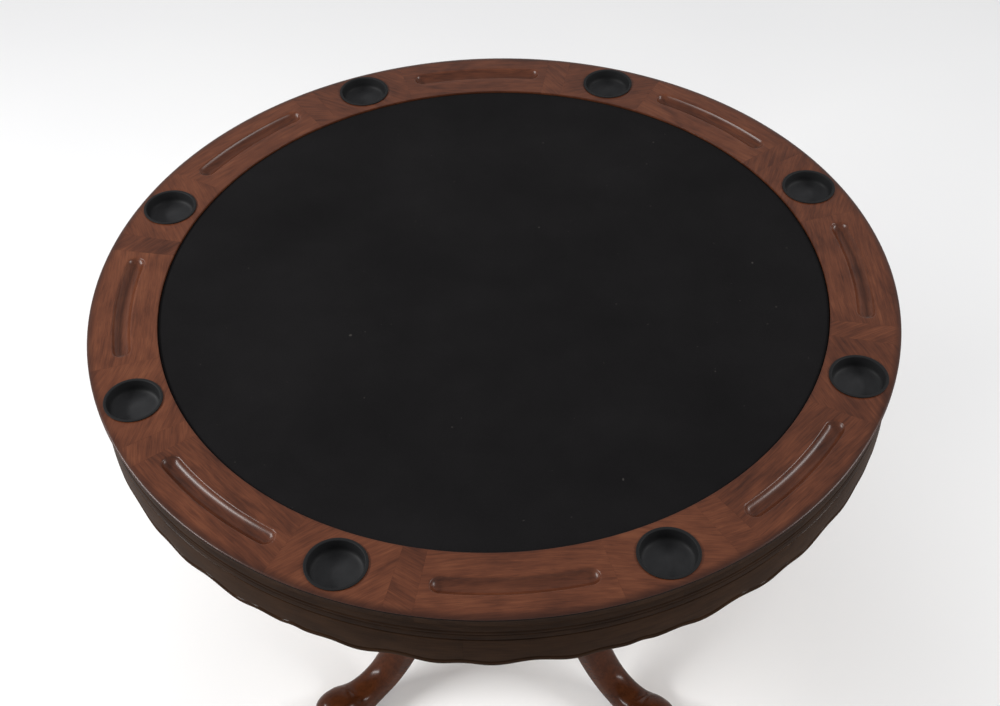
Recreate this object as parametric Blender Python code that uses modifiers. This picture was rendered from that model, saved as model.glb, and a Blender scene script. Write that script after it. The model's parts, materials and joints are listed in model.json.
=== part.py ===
"""Round gaming table: a lift-off top with a felt field, cup inserts and chip troughs on a pedestal base.

Units are metres, +Z is up and the origin is on the floor under the table's centre. The four legs point
nearly along the diagonals of X and Y, and the loose top sits on the apron turned by TOP_TURN.
"""
import math

import bmesh
import bpy
from mathutils import Matrix, Vector

# ---- driving dimensions -------------------------------------------------------------------------
GAP = 0.0003                      # clearance between neighbouring pieces
TABLE_HEIGHT = 0.800              # floor to the rail's top surface
TOP_RADIUS = 0.6096               # outermost radius of the rail's nosing
TOP_TURN = math.radians(5.2)      # how far the loose top is turned on its base
SIDE_RADIUS = 0.6035              # upright face of the top's side, under the nosing
FIELD_RADIUS = 0.5060             # inner edge of the wooden rail
RAIL_THICKNESS = 0.024
RAIL_INNER_CHAMFER = 0.0015
NOSING_EASE_WIDTH = 0.009         # eased outer edge of the rail: width and depth
NOSING_EASE_DEPTH = 0.003
NOSING_FACE_DEPTH = 0.0050        # lower end of the nosing's upright face, below the rail's surface
NOSING_UNDERCUT_DEPTH = 0.0090    # where the undercut meets the side face
SUBSTRATE_THICKNESS = 0.018
SUBSTRATE_FIT = 0.0012            # substrate's edge to the edge band
TOP_THICKNESS = 0.0555            # rail's surface to the lower edge of the edge band
BAND_THICKNESS = 0.024
BEAD_DEPTH = 0.0010
BEAD_GROOVES = (0.0370, 0.0440)   # depth of the two bead grooves below the rail's surface

FELT_RECESS = 0.003               # felt surface below the rail's surface
FELT_THICKNESS = 0.003

STATION_COUNT = 8                 # players' places: one cup and one trough each
STATION_ANGLE = 2.0 * math.pi / STATION_COUNT
CUP_BLOCK_ANGLE = math.radians(15.7)
SEAT_RADIUS = 0.559               # circle through the cup and trough centres
TROUGH_SHIFT = math.radians(1.6)  # each trough sits this far from the middle between two cups
CUP_FLANGE_RADIUS = 0.0423
CUP_FLANGE_THICKNESS = 0.0015
CUP_WALL_RADIUS = 0.0398
CUP_BASE_RADIUS = 0.0375
CUP_WALL = 0.0015
CUP_DEPTH = 0.0195
CUP_HOLE_RADIUS = 0.0402

TROUGH_TOOL_RADIUS = 0.015        # round-nosed trough: radius of its section
TROUGH_DEPTH = 0.009
TROUGH_HALF_ANGLE = math.radians(11.25)

CLEAT_SIZE = (0.020, 0.070, 0.028)
CLEAT_RADIUS = 0.563
CLEAT_ANGLE = math.radians(22.5)

APRON_RADIUS = 0.6030
APRON_THICKNESS = 0.021
APRON_DEPTH = 0.0540              # apron's height at a scallop depth of zero
APRON_LIP = 0.004
APRON_STEPS = 22
# lower edge of the apron from a scallop's middle to its end: angle and extra depth
SCALLOP = (
    (0.0, 0.0000),
    (2.0, 0.0027),
    (5.0, 0.0007),
    (8.7, 0.0060),
    (13.8, -0.0018),
    (19.0, 0.0060),
    (22.5, 0.0018),
)

CROSS_RAIL_SIZE = (1.157, 0.060, 0.050)
COLUMN_PLATE_SIZE = (0.240, 0.240, 0.018)
HUB_WIDTH = 0.120
HUB_BOTTOM = 0.140
HUB_TOP = 0.340
HUB_BORE_RADIUS = 0.032
HUB_BORE_ROOF = 0.030             # wood left above the bore

LEG_COUNT = 4
LEG_AZIMUTH = math.radians(46.3)  # direction of the first leg
LEG_TOP_EXPONENT = 2.8            # squareness of the leg's section above its middle
LEG_UNDER_EXPONENT = 6.0          # and below it, where the edges are crisp
LEG_SECTION_POINTS = 12
LEG_SOLE = 0.0058                 # flat underside of the foot
# leg stations: distance from the axis, height, width across, depth along the curve's normal
LEG_STATIONS = (
    (0.0603, 0.246, 0.060, 0.128),
    (0.1000, 0.249, 0.061, 0.112),
    (0.1400, 0.233, 0.060, 0.097),
    (0.1760, 0.199, 0.058, 0.082),
    (0.2060, 0.155, 0.056, 0.069),
    (0.2330, 0.110, 0.055, 0.059),
    (0.2600, 0.077, 0.055, 0.050),
    (0.2860, 0.056, 0.055, 0.043),
    (0.3130, 0.045, 0.056, 0.040),
    (0.3360, 0.040, 0.060, 0.043),
    (0.3560, 0.038, 0.068, 0.055),
    (0.3780, 0.040, 0.075, 0.071),
    (0.3980, 0.041, 0.074, 0.074),
    (0.4130, 0.039, 0.062, 0.061),
    (0.4230, 0.037, 0.038, 0.038),
)
BOLT_HEIGHT = 0.270
BOLT_RADIUS = 0.004
BOLT_HOLE_RADIUS = 0.0046
BOLT_HEAD_RADIUS = 0.0065
BOLT_HEAD_LENGTH = 0.005
BOLT_END = 0.100                  # distance of the bolt's tip from the table's axis
GLIDE_RADIUS = 0.017
GLIDE_HEIGHT = 0.0055
GLIDE_STEM_TOP = 0.030
GLIDE_POSITION = 0.388            # distance of each levelling glide from the table's axis

# ---- levels worked out from them ----------------------------------------------------------------
RAIL_BOTTOM = TABLE_HEIGHT - RAIL_THICKNESS
SUBSTRATE_TOP = RAIL_BOTTOM - GAP
SUBSTRATE_BOTTOM = SUBSTRATE_TOP - SUBSTRATE_THICKNESS
BAND_BOTTOM = TABLE_HEIGHT - TOP_THICKNESS
APRON_TOP = BAND_BOTTOM - GAP
CROSS_RAIL_TOP = APRON_TOP - 0.001
CROSS_RAIL_BOTTOM = CROSS_RAIL_TOP - CROSS_RAIL_SIZE[2]
PLATE_TOP = CROSS_RAIL_BOTTOM - GAP
COLUMN_TOP = PLATE_TOP - COLUMN_PLATE_SIZE[2] - GAP
FELT_TOP = TABLE_HEIGHT - FELT_RECESS
FIELD_BOARD_TOP = FELT_TOP - FELT_THICKNESS - GAP


# ---- helpers ------------------------------------------------------------------------------------
def clear_scene():
    """Remove every object of the open scene."""
    for existing in list(bpy.data.objects):
        bpy.data.objects.remove(existing, do_unlink=True)


def new_collection(name):
    """Add a collection to the scene and return it."""
    collection = bpy.data.collections.new(name)
    bpy.context.scene.collection.children.link(collection)
    return collection


def new_material(name, colour, roughness, metallic=0.0):
    """Make a Principled BSDF material from a linear colour."""
    material = bpy.data.materials.new(name)
    material.use_nodes = True
    shader = material.node_tree.nodes["Principled BSDF"]
    shader.inputs["Base Color"].default_value = (*colour, 1.0)
    shader.inputs["Roughness"].default_value = roughness
    shader.inputs["Metallic"].default_value = metallic
    return material


def object_from_bmesh(name, shape, collection, material=None, smooth_angle=35.0):
    """Turn a bmesh into an object with smooth shading below the given angle."""
    mesh = bpy.data.meshes.new(name)
    bmesh.ops.recalc_face_normals(shape, faces=shape.faces[:])
    shape.to_mesh(mesh)
    shape.free()
    if material:
        mesh.materials.append(material)
    mesh.shade_smooth()
    mesh.set_sharp_from_angle(angle=math.radians(smooth_angle))
    made = bpy.data.objects.new(name, mesh)
    collection.objects.link(made)
    return made


def turn_about_z(made, angle):
    """Stand an object at an angle about the table's axis."""
    made.matrix_world = Matrix.Rotation(angle, 4, "Z") @ made.matrix_world
    return made


def closed_loop(shape, points):
    """Add a closed loop of edges in the XZ plane to a bmesh and return its edges and vertices."""
    corners = [shape.verts.new((radius, 0.0, height)) for radius, height in points]
    edges = [shape.edges.new((corners[i - 1], corners[i])) for i in range(len(corners))]
    return corners + edges


def ring_sector(name, section, start, end, steps, collection, material=None):
    """Sweep a closed section (radius, height) about Z from one angle to another and cap both ends."""
    shape = bmesh.new()
    loop = closed_loop(shape, section)
    bmesh.ops.rotate(shape, cent=(0, 0, 0), matrix=Matrix.Rotation(start, 3, "Z"), verts=shape.verts[:])
    bmesh.ops.spin(shape, geom=loop, cent=(0, 0, 0), axis=(0, 0, 1), angle=end - start, steps=steps)
    open_edges = [edge for edge in shape.edges if edge.is_boundary]
    bmesh.ops.holes_fill(shape, edges=open_edges, sides=0)
    return object_from_bmesh(name, shape, collection, material)


def turned_piece(name, profile, steps, collection, material):
    """Turn a profile (radius, height), listed from the top down, into a solid of revolution."""
    mesh = bpy.data.meshes.new(name)
    points = [(radius, 0.0, height) for radius, height in profile]
    mesh.from_pydata(points, [(i, i + 1) for i in range(len(points) - 1)], [])
    mesh.materials.append(material)
    made = bpy.data.objects.new(name, mesh)
    collection.objects.link(made)
    screw = made.modifiers.new("turn", "SCREW")
    screw.axis = "Z"
    screw.steps = steps
    screw.render_steps = steps
    screw.use_merge_vertices = True
    screw.merge_threshold = 0.0001
    screw.use_smooth_shade = True
    return made


def box_piece(name, size, centre, collection, material=None, bevel=0.0):
    """Make a box of the given size, with bevelled edges where a width is given."""
    shape = bmesh.new()
    bmesh.ops.create_cube(shape, size=1.0)
    bmesh.ops.scale(shape, vec=size, verts=shape.verts[:])
    bmesh.ops.translate(shape, vec=centre, verts=shape.verts[:])
    made = object_from_bmesh(name, shape, collection, material)
    if bevel:
        rounding = made.modifiers.new("edges", "BEVEL")
        rounding.width = bevel
        rounding.segments = 1
    return made


def cylinder_cutter(name, radius, start, end, sides=20):
    """Make a cylindrical cutter between two points."""
    start = Vector(start)
    end = Vector(end)
    shape = bmesh.new()
    bmesh.ops.create_cone(
        shape, cap_ends=True, segments=sides, radius1=radius, radius2=radius, depth=(end - start).length
    )
    made = object_from_bmesh(name, shape, cutters)
    tilt = (end - start).to_track_quat("Z", "Y").to_matrix().to_4x4()
    made.matrix_world = Matrix.Translation((start + end) / 2.0) @ tilt
    return hide_cutter(made)


def hide_cutter(made):
    """Mark an object as a cutter."""
    made.hide_render = True
    made.display_type = "WIRE"
    return made


def cut(made, cutter):
    """Subtract a cutter from an object."""
    boolean = made.modifiers.new("cut", "BOOLEAN")
    boolean.operation = "DIFFERENCE"
    boolean.solver = "EXACT"
    boolean.object = cutter
    return made


def eased(value):
    """Cosine step from 0 to 1."""
    return 0.5 - 0.5 * math.cos(math.pi * value)


# ---- game top -----------------------------------------------------------------------------------
def rail_section():
    """Closed section of the wooden rail with its eased nosing."""
    ease_start = TOP_RADIUS - NOSING_EASE_WIDTH
    ease = []
    for step in range(4):
        angle = math.radians(30.0 * step)
        radius = ease_start + NOSING_EASE_WIDTH * math.sin(angle)
        height = TABLE_HEIGHT - NOSING_EASE_DEPTH * (1.0 - math.cos(angle))
        ease.append((radius, height))
    return [
        (FIELD_RADIUS, RAIL_BOTTOM),
        (FIELD_RADIUS, TABLE_HEIGHT - RAIL_INNER_CHAMFER),
        (FIELD_RADIUS + RAIL_INNER_CHAMFER, TABLE_HEIGHT),
        *ease,
        (TOP_RADIUS, TABLE_HEIGHT - NOSING_FACE_DEPTH),
        (SIDE_RADIUS, TABLE_HEIGHT - NOSING_UNDERCUT_DEPTH),
        (SIDE_RADIUS, RAIL_BOTTOM),
    ]


def rail_block(name, middle, width, steps):
    """One wooden block of the rail, centred at an angle of the top."""
    half = width / 2.0 - GAP / (2.0 * FIELD_RADIUS)
    return ring_sector(name, rail_section(), middle - half, middle + half, steps, parts, rail_wood)


def trough_cutter(name, middle):
    """Round-nosed cutter with ball ends, bent along the seat circle."""
    reach = math.sqrt(TROUGH_TOOL_RADIUS ** 2 - (TROUGH_TOOL_RADIUS - TROUGH_DEPTH) ** 2)
    straight = SEAT_RADIUS * TROUGH_HALF_ANGLE - reach
    stations = [straight * (step / 4.0 - 1.0) for step in range(9)]
    outline = [(TROUGH_TOOL_RADIUS, along) for along in stations]
    for angle in (30.0, 60.0, 90.0):
        away = TROUGH_TOOL_RADIUS * math.sin(math.radians(angle))
        across = TROUGH_TOOL_RADIUS * math.cos(math.radians(angle))
        outline.append((across, straight + away))
        outline.insert(0, (across, -straight - away))
    shape = bmesh.new()
    line = [shape.verts.new((across, along, 0.0)) for across, along in outline]
    edges = [shape.edges.new((line[i], line[i + 1])) for i in range(len(line) - 1)]
    bmesh.ops.spin(shape, geom=line + edges, cent=(0, 0, 0), axis=(0, 1, 0), angle=2.0 * math.pi, steps=12)
    bmesh.ops.remove_doubles(shape, verts=shape.verts[:], dist=0.00005)
    centre_height = TABLE_HEIGHT - TROUGH_DEPTH + TROUGH_TOOL_RADIUS
    for vertex in shape.verts:
        across, along, up = vertex.co
        angle = middle + along / SEAT_RADIUS
        radius = SEAT_RADIUS + across
        vertex.co = (radius * math.cos(angle), radius * math.sin(angle), centre_height + up)
    return hide_cutter(object_from_bmesh(name, shape, cutters))


def build_rail():
    """Eight cup blocks and eight tray blocks, alternating round the field."""
    tray_block_angle = STATION_ANGLE - CUP_BLOCK_ANGLE
    for index in range(STATION_COUNT):
        cup_angle = TOP_TURN + (index + 0.5) * STATION_ANGLE
        tray_angle = TOP_TURN + index * STATION_ANGLE
        cup_x = SEAT_RADIUS * math.cos(cup_angle)
        cup_y = SEAT_RADIUS * math.sin(cup_angle)
        block = rail_block(f"rail_cup_block_{index + 1}", cup_angle, CUP_BLOCK_ANGLE, 6)
        drill_start = (cup_x, cup_y, RAIL_BOTTOM - 0.005)
        drill_end = (cup_x, cup_y, TABLE_HEIGHT + 0.005)
        cut(block, cylinder_cutter(f"cup_hole_{index + 1}", CUP_HOLE_RADIUS, drill_start, drill_end, 24))
        tray = rail_block(f"rail_tray_block_{index + 1}", tray_angle, tray_block_angle, 12)
        cut(tray, trough_cutter(f"trough_{index + 1}", tray_angle + TROUGH_SHIFT))


def build_field():
    """Felt cover, the board under it, and the substrate that carries the rail and the field."""
    reach = FIELD_RADIUS - GAP
    felt_bottom = FELT_TOP - FELT_THICKNESS
    felt_profile = [(0.0, FELT_TOP), (reach, FELT_TOP), (reach, felt_bottom), (0.0, felt_bottom)]
    turn_about_z(turned_piece("felt_cover", felt_profile, 72, parts, felt_cloth), TOP_TURN)
    board_profile = [
        (0.0, FIELD_BOARD_TOP),
        (reach, FIELD_BOARD_TOP),
        (reach, RAIL_BOTTOM),
        (0.0, RAIL_BOTTOM),
    ]
    turn_about_z(turned_piece("field_board", board_profile, 72, parts, plywood), TOP_TURN)
    edge = SIDE_RADIUS - BAND_THICKNESS - SUBSTRATE_FIT
    substrate_profile = [
        (0.0, SUBSTRATE_TOP),
        (edge, SUBSTRATE_TOP),
        (edge, SUBSTRATE_BOTTOM),
        (0.0, SUBSTRATE_BOTTOM),
    ]
    turn_about_z(turned_piece("top_substrate", substrate_profile, 72, parts, plywood), TOP_TURN)


def build_edge_band():
    """Four quarters of the beaded band that hides the substrate's edge and rests on the apron."""
    face = []
    for depth in BEAD_GROOVES:
        height = TABLE_HEIGHT - depth
        face.append((SIDE_RADIUS, height + BEAD_DEPTH))
        face.append((SIDE_RADIUS - BEAD_DEPTH, height))
        face.append((SIDE_RADIUS, height - BEAD_DEPTH))
    inner = SIDE_RADIUS - BAND_THICKNESS
    section = [
        (inner, BAND_BOTTOM),
        (inner, SUBSTRATE_TOP),
        (SIDE_RADIUS, SUBSTRATE_TOP),
        *face,
        (SIDE_RADIUS, BAND_BOTTOM + 0.0015),
        (SIDE_RADIUS - 0.0015, BAND_BOTTOM),
    ]
    half_gap = GAP / (2.0 * inner)
    for index in range(4):
        start = TOP_TURN + index * math.pi / 2.0 + STATION_ANGLE / 2.0
        end = start + math.pi / 2.0
        ring_sector(f"edge_band_{index + 1}", section, start + half_gap, end - half_gap, 16, parts, side_wood)


def build_cleats():
    """Four blocks under the substrate that keep the loose top centred inside the apron."""
    for index in range(4):
        centre = (CLEAT_RADIUS, 0.0, SUBSTRATE_BOTTOM - GAP - CLEAT_SIZE[2] / 2.0)
        cleat = box_piece(f"locating_cleat_{index + 1}", CLEAT_SIZE, centre, parts, plain_wood, 0.0015)
        turn_about_z(cleat, TOP_TURN + CLEAT_ANGLE + index * math.pi / 2.0)


def build_cups():
    """Eight drop-in cup inserts; each object's origin is on its own axis."""
    lip = CUP_WALL / 2.0
    rim_top = GAP + CUP_FLANGE_THICKNESS
    floor_top = rim_top - CUP_DEPTH
    floor_bottom = floor_top - CUP_WALL
    profile = [
        (0.0, floor_top),
        (CUP_BASE_RADIUS - 0.004, floor_top),
        (CUP_WALL_RADIUS - CUP_WALL, rim_top - lip),
        (CUP_WALL_RADIUS - lip, rim_top),
        (CUP_FLANGE_RADIUS - lip, rim_top),
        (CUP_FLANGE_RADIUS, GAP + lip),
        (CUP_FLANGE_RADIUS - lip, GAP),
        (CUP_WALL_RADIUS, GAP),
        (CUP_BASE_RADIUS, floor_bottom),
        (0.0, floor_bottom),
    ]
    for index in range(STATION_COUNT):
        angle = TOP_TURN + (index + 0.5) * STATION_ANGLE
        cup = turned_piece(f"cup_insert_{index + 1}", profile, 20, parts, cup_plastic)
        cup.location = (SEAT_RADIUS * math.cos(angle), SEAT_RADIUS * math.sin(angle), TABLE_HEIGHT)


# ---- base ---------------------------------------------------------------------------------------
def scallop_depth(angle):
    """Extra depth of the apron's lower edge at an angle from a scallop's middle."""
    offset = min(abs(math.degrees(angle)), SCALLOP[-1][0])
    for (low, low_depth), (high, high_depth) in zip(SCALLOP, SCALLOP[1:]):
        if offset <= high:
            share = eased((offset - low) / (high - low))
            return low_depth + (high_depth - low_depth) * share
    return SCALLOP[-1][1]


def build_apron():
    """Eight curved apron segments whose lower edges follow the scallops."""
    inner = APRON_RADIUS - APRON_THICKNESS
    low = APRON_TOP - APRON_DEPTH + 0.002
    section = [
        (inner, low),
        (inner, APRON_TOP),
        (APRON_RADIUS, APRON_TOP),
        (APRON_RADIUS, low + APRON_LIP),
        (APRON_RADIUS - APRON_LIP, low),
    ]
    half_gap = GAP / (2.0 * inner)
    for index in range(STATION_COUNT):
        start = index * STATION_ANGLE
        middle = start + STATION_ANGLE / 2.0
        name = f"apron_segment_{index + 1}"
        segment = ring_sector(
            name, section, start + half_gap, start + STATION_ANGLE - half_gap, APRON_STEPS, parts, side_wood
        )
        for vertex in segment.data.vertices:
            if vertex.co.z < APRON_TOP - APRON_DEPTH / 2.0:
                angle = math.remainder(math.atan2(vertex.co.y, vertex.co.x) - middle, 2.0 * math.pi)
                vertex.co.z -= scallop_depth(angle)


def build_frame():
    """Two half-lapped cross rails inside the apron and the plate that the column is bolted to."""
    length, width, depth = CROSS_RAIL_SIZE
    middle = (CROSS_RAIL_TOP + CROSS_RAIL_BOTTOM) / 2.0
    lap = (width + 2.0 * GAP, width + 2.0 * GAP, depth)
    lower = box_piece("cross_rail_lower", (length, width, depth), (0, 0, middle), parts, plain_wood)
    upper = box_piece("cross_rail_upper", (width, length, depth), (0, 0, middle), parts, plain_wood)
    top_notch = box_piece("lap_top", lap, (0, 0, middle + depth / 2.0), cutters)
    bottom_notch = box_piece("lap_bottom", lap, (0, 0, middle - depth / 2.0 + GAP), cutters)
    cut(lower, hide_cutter(top_notch))
    cut(upper, hide_cutter(bottom_notch))
    plate_centre = (0, 0, PLATE_TOP - COLUMN_PLATE_SIZE[2] / 2.0)
    box_piece("column_plate", COLUMN_PLATE_SIZE, plate_centre, parts, plain_wood, 0.002)


def build_column():
    """Turned pedestal column between the plate and the hub."""
    bottom = HUB_TOP + GAP
    profile = [
        (0.0, COLUMN_TOP),
        (0.062, COLUMN_TOP),
        (0.062, COLUMN_TOP - 0.016),
        (0.048, COLUMN_TOP - 0.030),
        (0.038, COLUMN_TOP - 0.070),
        (0.038, COLUMN_TOP - 0.110),
        (0.048, COLUMN_TOP - 0.160),
        (0.062, COLUMN_TOP - 0.205),
        (0.066, COLUMN_TOP - 0.240),
        (0.058, COLUMN_TOP - 0.275),
        (0.044, bottom + 0.030),
        (0.046, bottom + 0.022),
        (0.060, bottom + 0.012),
        (0.060, bottom),
        (0.0, bottom),
    ]
    turned_piece("pedestal_column", profile, 20, parts, leg_wood)


def build_hub():
    """Square hub whose four faces carry the legs; its bore is open below for the bolt heads."""
    size = (HUB_WIDTH, HUB_WIDTH, HUB_TOP - HUB_BOTTOM)
    hub = box_piece("pedestal_hub", size, (0, 0, (HUB_TOP + HUB_BOTTOM) / 2.0), parts, leg_wood, 0.004)
    turn_about_z(hub, LEG_AZIMUTH)
    bore_low = (0.0, 0.0, HUB_BOTTOM - 0.01)
    bore_high = (0.0, 0.0, HUB_TOP - HUB_BORE_ROOF)
    cut(hub, cylinder_cutter("hub_bore", HUB_BORE_RADIUS, bore_low, bore_high, 24))
    for index in range(LEG_COUNT):
        angle = LEG_AZIMUTH + index * math.pi / 2.0
        outward = Vector((math.cos(angle), math.sin(angle), 0.0))
        level = Vector((0.0, 0.0, BOLT_HEIGHT))
        start = level + outward * 0.010
        end = level + outward * HUB_WIDTH
        cut(hub, cylinder_cutter(f"hub_hole_{index + 1}", BOLT_HOLE_RADIUS, start, end, 12))


def leg_mesh():
    """Cabriole leg along +X: rounded sections at right angles to a curve that sweeps down to the foot."""
    shape = bmesh.new()
    rings = []
    last = len(LEG_STATIONS) - 1
    for index, (radius, height, width, depth) in enumerate(LEG_STATIONS):
        before = LEG_STATIONS[max(index - 1, 0)]
        after = LEG_STATIONS[min(index + 1, last)]
        along = Vector((after[0] - before[0], 0.0, after[1] - before[1])).normalized()
        if index == 0:
            along = Vector((1.0, 0.0, 0.0))
        normal = Vector((-along.z, 0.0, along.x))
        ring = []
        for step in range(LEG_SECTION_POINTS):
            angle = 2.0 * math.pi * (step + 0.5) / LEG_SECTION_POINTS
            cosine = math.cos(angle)
            sine = math.sin(angle)
            exponent = LEG_TOP_EXPONENT if sine > 0.0 else LEG_UNDER_EXPONENT
            across = math.copysign(abs(cosine) ** (2.0 / exponent), cosine) * width / 2.0
            up = math.copysign(abs(sine) ** (2.0 / exponent), sine) * depth / 2.0
            point = Vector((radius, across, height)) + normal * up
            point.z = max(point.z, LEG_SOLE)
            ring.append(shape.verts.new(point))
        rings.append(ring)
    for inner, outer in zip(rings, rings[1:]):
        for step in range(LEG_SECTION_POINTS):
            following = (step + 1) % LEG_SECTION_POINTS
            shape.faces.new((inner[step], inner[following], outer[following], outer[step]))
    shape.faces.new(rings[0])
    shape.faces.new(rings[-1])
    return shape


def build_legs():
    """Four legs, each with a bolt hole at the hub and a bore for its levelling glide."""
    for index in range(LEG_COUNT):
        angle = LEG_AZIMUTH + index * math.pi / 2.0
        leg = turn_about_z(object_from_bmesh(f"leg_{index + 1}", leg_mesh(), parts, leg_wood), angle)
        outward = Vector((math.cos(angle), math.sin(angle), 0.0))
        level = Vector((0.0, 0.0, BOLT_HEIGHT))
        start = level + outward * 0.050
        end = level + outward * (BOLT_END + 0.002)
        cut(leg, cylinder_cutter(f"leg_hole_{index + 1}", BOLT_HOLE_RADIUS, start, end, 12))
        foot = outward * GLIDE_POSITION
        bore_top = foot + Vector((0.0, 0.0, GLIDE_STEM_TOP + 0.002))
        cut(leg, cylinder_cutter(f"glide_bore_{index + 1}", BOLT_HOLE_RADIUS, foot, bore_top, 12))


def build_bolts():
    """Four bolts from the hub's bore into the legs, heads inside the bore."""
    head_top = -(HUB_BORE_RADIUS - BOLT_HEAD_LENGTH - 0.0015)
    head_face = head_top - BOLT_HEAD_LENGTH
    profile = [
        (0.0, head_top),
        (BOLT_HEAD_RADIUS, head_top),
        (BOLT_HEAD_RADIUS, head_face),
        (BOLT_RADIUS, head_face),
        (BOLT_RADIUS, -BOLT_END),
        (0.0, -BOLT_END),
    ]
    for index in range(LEG_COUNT):
        angle = LEG_AZIMUTH + index * math.pi / 2.0
        bolt = turned_piece(f"leg_bolt_{index + 1}", profile, 12, parts, zinc)
        lay_down = Matrix.Rotation(-math.pi / 2.0, 4, "Y")
        bolt.matrix_world = lay_down
        turn_about_z(bolt, angle)
        bolt.location.z = BOLT_HEIGHT


def build_glides():
    """Four levelling glides; each object's origin is on its screw's axis at the floor."""
    profile = [
        (0.0, GLIDE_STEM_TOP),
        (BOLT_RADIUS, GLIDE_STEM_TOP),
        (BOLT_RADIUS, GLIDE_HEIGHT),
        (GLIDE_RADIUS, GLIDE_HEIGHT),
        (GLIDE_RADIUS, 0.001),
        (GLIDE_RADIUS - 0.001, 0.0),
        (0.0, 0.0),
    ]
    for index in range(LEG_COUNT):
        angle = LEG_AZIMUTH + index * math.pi / 2.0
        glide = turned_piece(f"levelling_glide_{index + 1}", profile, 16, parts, glide_nylon)
        glide.location = (GLIDE_POSITION * math.cos(angle), GLIDE_POSITION * math.sin(angle), 0.0)


# ---- scene --------------------------------------------------------------------------------------
clear_scene()
parts = new_collection("gaming_table")
cutters = new_collection("cutters")

rail_wood = new_material("rail_wood", (0.120, 0.044, 0.028), 0.30)
side_wood = new_material("side_wood", (0.034, 0.020, 0.015), 0.28)
leg_wood = new_material("leg_wood", (0.085, 0.022, 0.014), 0.22)
plain_wood = new_material("plain_wood", (0.300, 0.190, 0.110), 0.60)
plywood = new_material("plywood", (0.360, 0.250, 0.150), 0.70)
felt_cloth = new_material("felt_cloth", (0.012, 0.011, 0.012), 0.95)
cup_plastic = new_material("cup_plastic", (0.020, 0.020, 0.022), 0.38)
zinc = new_material("zinc", (0.55, 0.56, 0.58), 0.35, 1.0)
glide_nylon = new_material("glide_nylon", (0.030, 0.030, 0.032), 0.50)

build_rail()
build_field()
build_edge_band()
build_cleats()
build_cups()
build_apron()
build_frame()
build_column()
build_hub()
build_legs()
build_bolts()
build_glides()
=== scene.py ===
"""Looks of the round gaming table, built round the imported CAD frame.

Metres, +Z up, in the frame's own axes. Pieces that repeat are made round +X and then turned about the table's
axis to their places. The loose top is turned on its base, by the angle that the frame's cups give.
"""
import json
import math

import bmesh
import bpy
from mathutils import Matrix, Vector, noise

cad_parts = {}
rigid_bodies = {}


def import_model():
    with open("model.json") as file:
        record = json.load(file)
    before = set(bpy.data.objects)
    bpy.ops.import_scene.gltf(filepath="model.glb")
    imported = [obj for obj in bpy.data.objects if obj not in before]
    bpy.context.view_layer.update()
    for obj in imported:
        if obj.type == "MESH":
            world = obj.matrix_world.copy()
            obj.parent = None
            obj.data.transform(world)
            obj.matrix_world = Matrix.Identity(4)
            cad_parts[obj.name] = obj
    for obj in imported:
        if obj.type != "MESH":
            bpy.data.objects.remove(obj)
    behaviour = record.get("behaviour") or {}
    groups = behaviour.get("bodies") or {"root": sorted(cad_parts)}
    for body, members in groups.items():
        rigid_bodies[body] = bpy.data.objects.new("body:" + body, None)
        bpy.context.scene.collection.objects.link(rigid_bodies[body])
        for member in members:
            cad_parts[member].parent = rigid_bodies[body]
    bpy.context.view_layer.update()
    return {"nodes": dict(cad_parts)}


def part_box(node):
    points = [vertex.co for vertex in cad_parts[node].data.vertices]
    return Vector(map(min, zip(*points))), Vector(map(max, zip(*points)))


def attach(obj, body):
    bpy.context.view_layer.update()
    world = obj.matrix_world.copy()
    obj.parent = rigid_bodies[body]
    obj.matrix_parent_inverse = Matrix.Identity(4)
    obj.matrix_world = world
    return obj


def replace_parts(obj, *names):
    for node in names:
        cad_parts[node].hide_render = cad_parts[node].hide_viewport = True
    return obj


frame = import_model()


# ---- sizes read from the frame --------------------------------------------------------------------
def reach(node):
    """Least and greatest distance from the table's axis, and lowest and highest level, of a CAD node."""
    corners = [vertex.co for vertex in frame["nodes"][node].data.vertices]
    radii = [math.hypot(corner.x, corner.y) for corner in corners]
    levels = [corner.z for corner in corners]
    return min(radii), max(radii), min(levels), max(levels)


def middle(node):
    """Middle of a CAD node's box."""
    low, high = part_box(node)
    return (low + high) / 2.0


STATIONS = 8
STATION_ANGLE = 2.0 * math.pi / STATIONS
RAIL_INNER, RAIL_OUTER, RAIL_BOTTOM, RAIL_TOP = reach("rail_tray_block_1")
FELT_REACH, FELT_BOTTOM, FELT_TOP = reach("felt_cover")[1:]
BAND_INNER, SIDE_RADIUS, BAND_BOTTOM, BAND_TOP = reach("edge_band_1")
APRON_INNER, APRON_RADIUS, _, APRON_TOP = reach("apron_segment_1")
CUP_LOW, CUP_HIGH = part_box("cup_insert_1")
CUP_CENTRE = middle("cup_insert_1")
SEAT_RADIUS = math.hypot(CUP_CENTRE.x, CUP_CENTRE.y)
CUP_FLANGE_RADIUS = (CUP_HIGH.y - CUP_LOW.y) / 2.0
TOP_TURN = math.atan2(CUP_CENTRE.y, CUP_CENTRE.x) - STATION_ANGLE / 2.0
GLIDE_CENTRE = middle("levelling_glide_1")
LEG_AZIMUTH = math.atan2(GLIDE_CENTRE.y, GLIDE_CENTRE.x)
HUB_BOTTOM, HUB_TOP = reach("pedestal_hub")[2:]
COLUMN_BOTTOM, COLUMN_TOP = reach("pedestal_column")[2:]

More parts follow.
